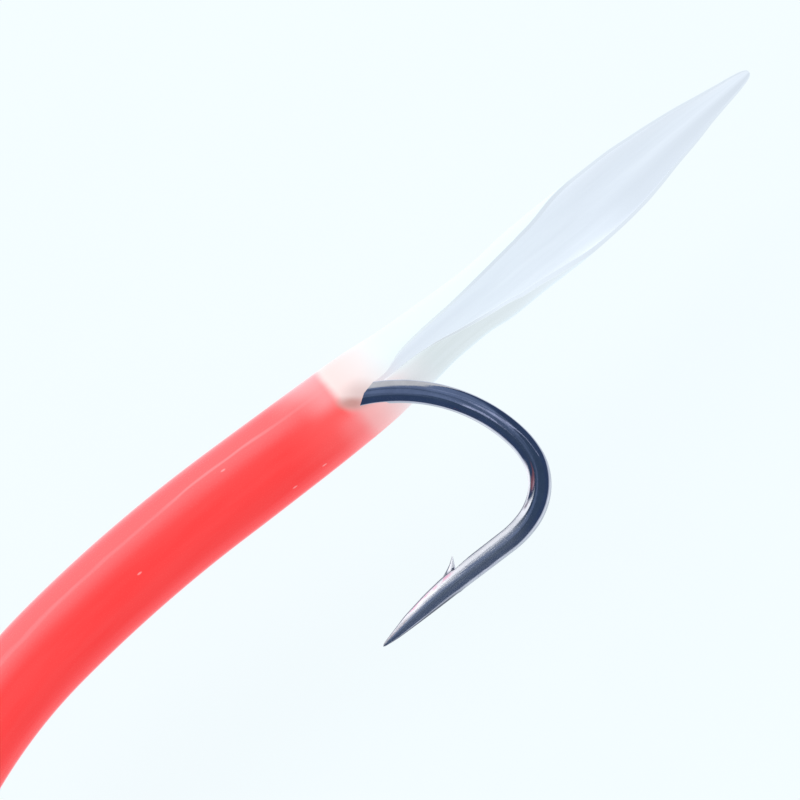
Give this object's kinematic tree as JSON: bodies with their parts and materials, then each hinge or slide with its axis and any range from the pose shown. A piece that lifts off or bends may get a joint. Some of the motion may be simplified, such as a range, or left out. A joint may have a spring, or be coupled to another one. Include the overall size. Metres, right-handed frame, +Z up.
{
  "type": "rubber tube eel fishing lure",
  "caption": "Curved translucent red tube lure with a milky quill-cut tail, a barbed hook leaving the crotch of the cut, and a weighted wire leader to a barrel swivel.",
  "frame": {"origin": "centre of the hole in the swivel's front ring, where the line is tied", "axes": "+X along the swivel's axis towards the tail, +Z up out of the plane in which the tube curves, so the lure lies flat on XY"},
  "size_m": [0.1379, 0.0525, 0.008],
  "materials": {
    "red_vinyl": "translucent soft red vinyl, slightly glossy",
    "white_vinyl": "milky translucent soft white vinyl, satin",
    "black_nickel": "polished black nickel over forged steel",
    "leader_steel": "bright drawn stainless wire",
    "crimp_copper": "pressed copper, lightly dulled",
    "lead": "cast lead, dull grey with soft oxide",
    "bead_red": "glossy red plastic",
    "swivel_brass": "black nickel over brass, worn to warm metal on edges",
    "ring_steel": "black nickel steel wire"
  },
  "bodies": {
    "lure": {"tube_body": "red_vinyl", "tail_collar": "white_vinyl", "hook": "black_nickel", "leader_wire": "leader_steel", "rear_crimp_sleeve": "crimp_copper", "front_crimp_sleeve": "crimp_copper", "egg_sinker": "lead", "stop_bead": "bead_red"},
    "tail": {"tail_blade": "white_vinyl"},
    "swivel_rear": {"swivel_rear_ring": "ring_steel"},
    "barrel": {"swivel_barrel": "swivel_brass"},
    "swivel_front": {"swivel_front_ring": "ring_steel"}
  },
  "joints": [
    {"name": "tail_flex", "type": "hinge", "parent": "lure", "child": "tail", "pos_m": [0.10479, -0.02973, 0], "axis": [0.5501, 0.7463, 0.3746], "range_deg": [-25, 25]},
    {"name": "swivel_swing", "type": "hinge", "parent": "lure", "child": "swivel_rear", "pos_m": [0.01495, 0, 0], "axis": [0, 0, 1], "range_deg": [-55, 55]},
    {"name": "barrel_spin", "type": "hinge", "parent": "swivel_rear", "child": "barrel", "pos_m": [0.0066, 0, 0], "axis": [1, 0, 0], "continuous": true},
    {"name": "front_ring_spin", "type": "hinge", "parent": "barrel", "child": "swivel_front", "pos_m": [0.0066, 0, 0], "axis": [1, 0, 0], "continuous": true}
  ]
}
